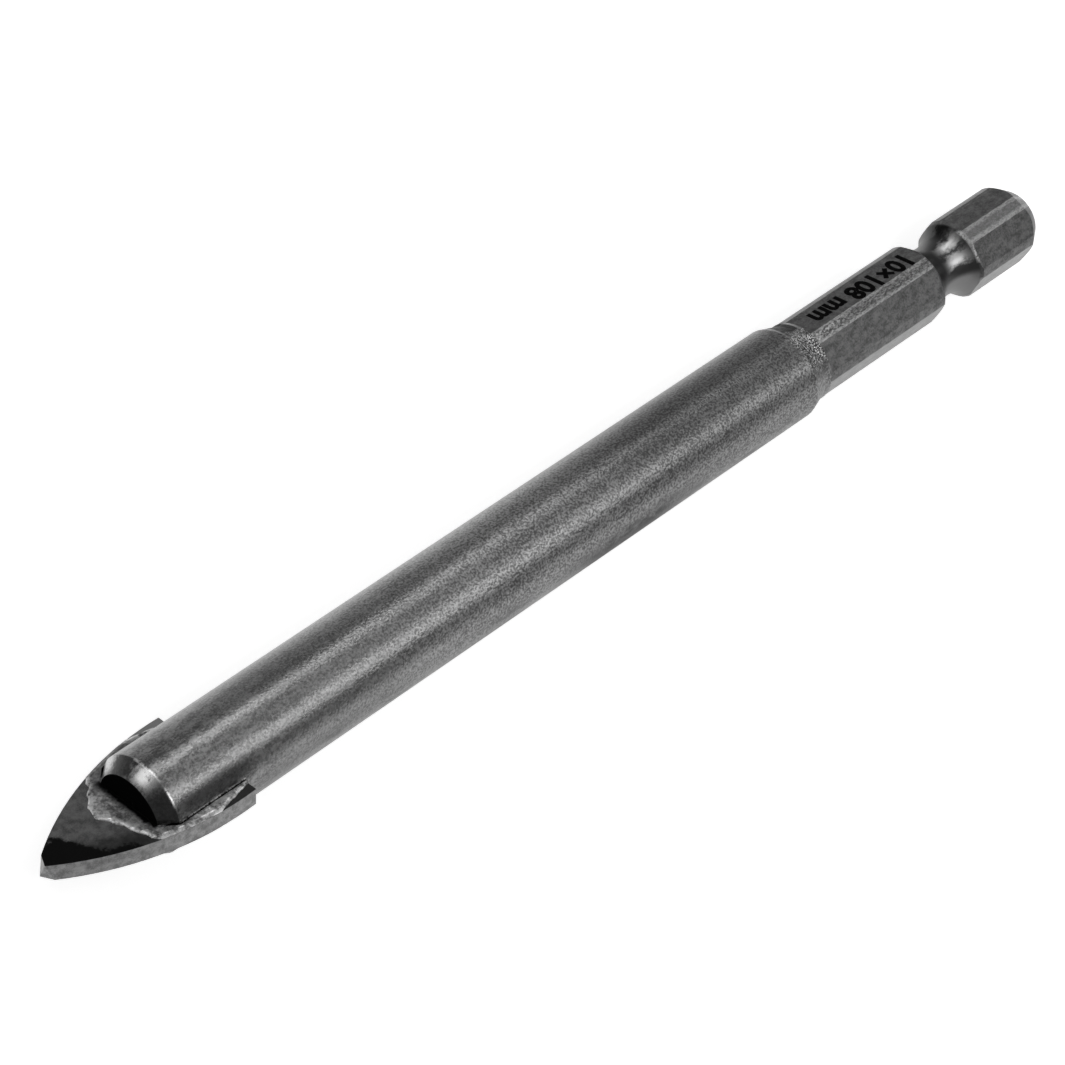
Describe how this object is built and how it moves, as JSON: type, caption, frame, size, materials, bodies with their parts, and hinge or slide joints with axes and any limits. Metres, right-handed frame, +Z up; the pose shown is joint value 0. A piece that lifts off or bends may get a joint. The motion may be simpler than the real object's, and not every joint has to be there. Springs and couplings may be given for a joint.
{
  "type": "glass and tile drill bit",
  "caption": "Drill bit for glass and tile: flat carbide spear plate brazed across the front of a round steel body, with a hex shank behind that has a lock groove.",
  "frame": {"origin": "middle of the bit's box, on the plane it lies on", "axes": "+X along the bit from the point to the shank's end, +Z up from the plane, with the plate's +Y corner rolled down to the plane"},
  "size_m": [0.1078, 0.0084, 0.0079],
  "materials": {
    "steel": "matt blasted steel",
    "carbide": "dark sintered faces with fine ground flanks",
    "braze": "uneven pale silver filler"
  },
  "bodies": {
    "root": {"steel_body": "steel", "carbide_tip": "carbide", "braze_seam": "braze"}
  },
  "joints": []
}
